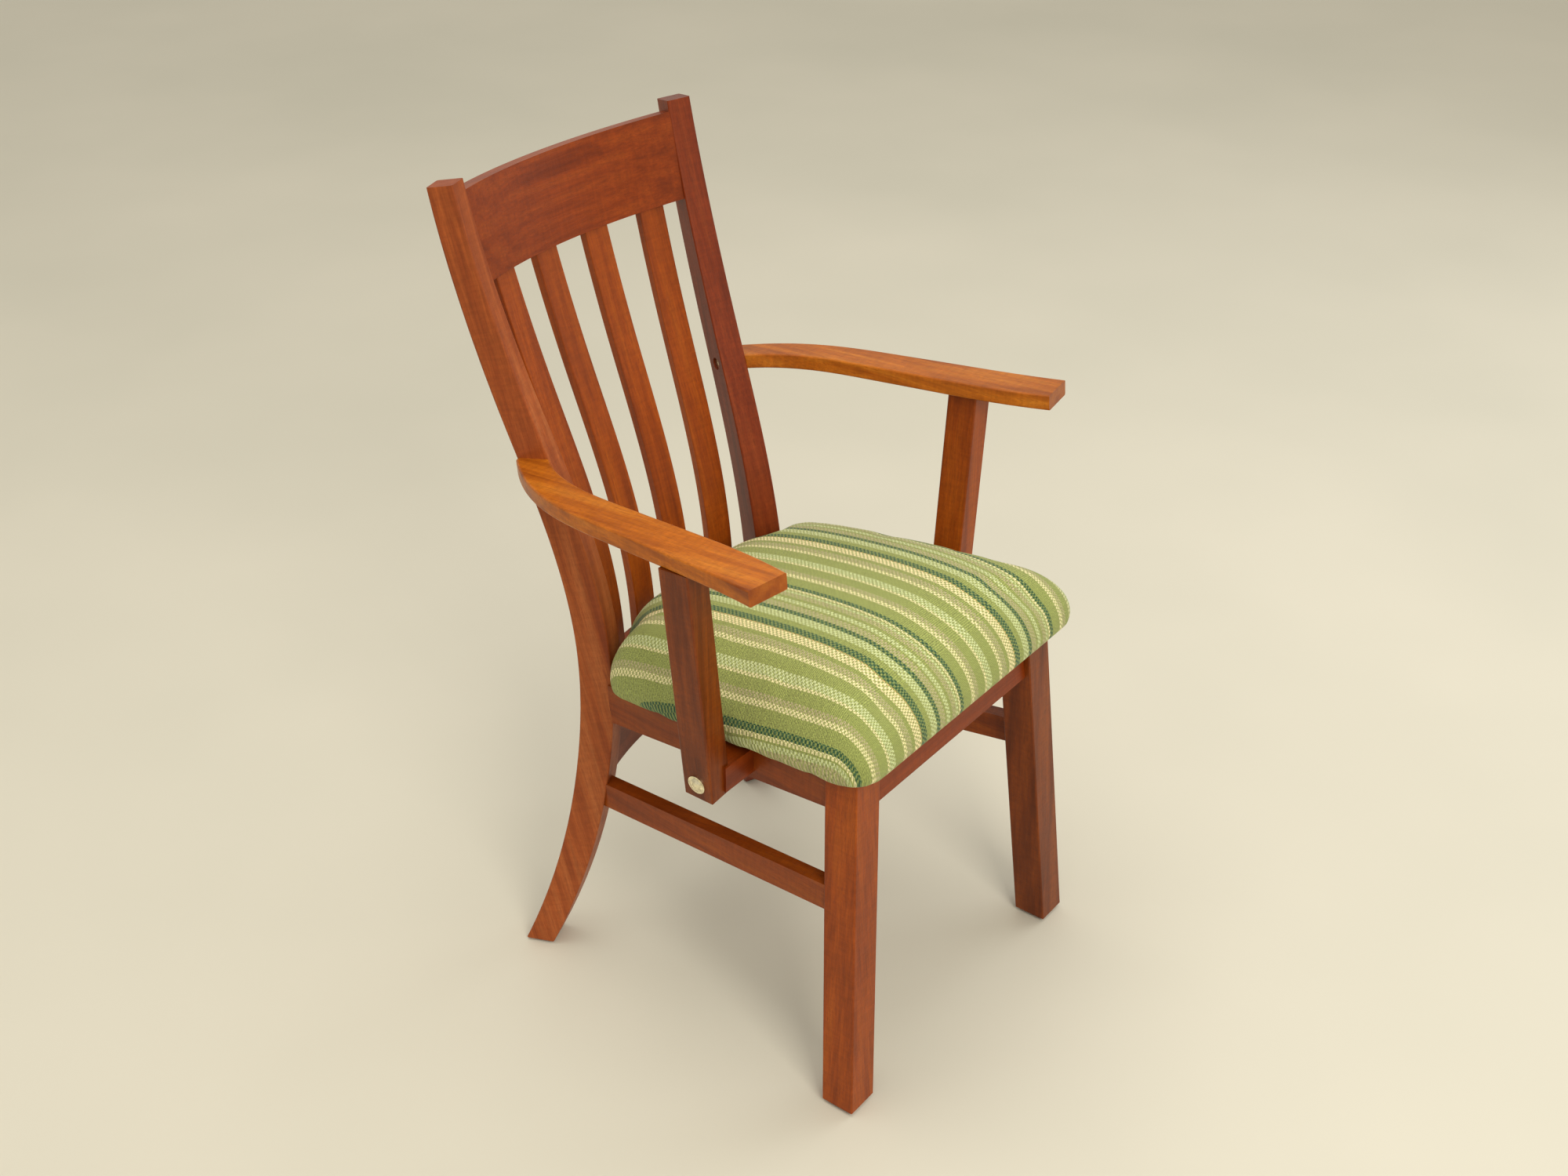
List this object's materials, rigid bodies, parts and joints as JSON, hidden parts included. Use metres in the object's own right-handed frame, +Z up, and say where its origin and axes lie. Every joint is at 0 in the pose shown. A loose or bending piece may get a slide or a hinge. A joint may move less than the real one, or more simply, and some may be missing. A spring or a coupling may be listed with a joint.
{
  "type": "armchair",
  "caption": "Wooden armchair with sabre rear legs, curved crest rail over upright slats, bolted arm posts and a padded striped seat.",
  "frame": {"origin": "on the floor, in the middle of the chair's outer box", "axes": "+Z up, the chair faces -Y, the sitter's left is +X"},
  "size_m": [0.572, 0.6047, 0.9461],
  "materials": {
    "stained_wood": "red-brown stain under satin lacquer",
    "arm_wood": "lighter orange-brown stain, worn satin lacquer",
    "plain_wood": "unfinished hardwood",
    "plated_metal": "pale plated, satin",
    "zinc_steel": "zinc plated",
    "plywood": "raw plywood",
    "foam": "cut foam",
    "striped_fabric": "ribbed woven stripes",
    "dust_cloth": "thin black non-woven cloth",
    "glide_plastic": "moulded"
  },
  "bodies": {
    "root": {"front_leg_left": "stained_wood", "front_leg_right": "stained_wood", "rear_leg_left": "stained_wood", "rear_leg_right": "stained_wood", "crest_rail": "stained_wood", "back_slat_1": "stained_wood", "back_slat_2": "stained_wood", "back_slat_3": "stained_wood", "back_slat_4": "stained_wood", "seat_rail_front": "stained_wood", "seat_rail_rear": "stained_wood", "seat_rail_left": "stained_wood", "seat_rail_right": "stained_wood", "side_stretcher_left": "stained_wood", "side_stretcher_right": "stained_wood", "arm_post_left": "stained_wood", "arm_post_right": "stained_wood", "spacer_block_left": "stained_wood", "spacer_block_right": "stained_wood", "arm_left": "arm_wood", "arm_right": "arm_wood", "corner_block_front_left": "plain_wood", "corner_block_front_right": "plain_wood", "corner_block_rear_left": "plain_wood", "corner_block_rear_right": "plain_wood", "arm_dowels": "plain_wood", "arm_bolts": "plated_metal", "bolt_washers": "plated_metal", "arm_screws": "plated_metal", "arm_screw_cups": "plated_metal", "bolt_nuts": "zinc_steel", "nut_washers": "zinc_steel", "seat_screws": "zinc_steel", "seat_board": "plywood", "seat_foam": "foam", "seat_cover": "striped_fabric", "dust_cover": "dust_cloth", "foot_glides": "glide_plastic"}
  },
  "joints": []
}
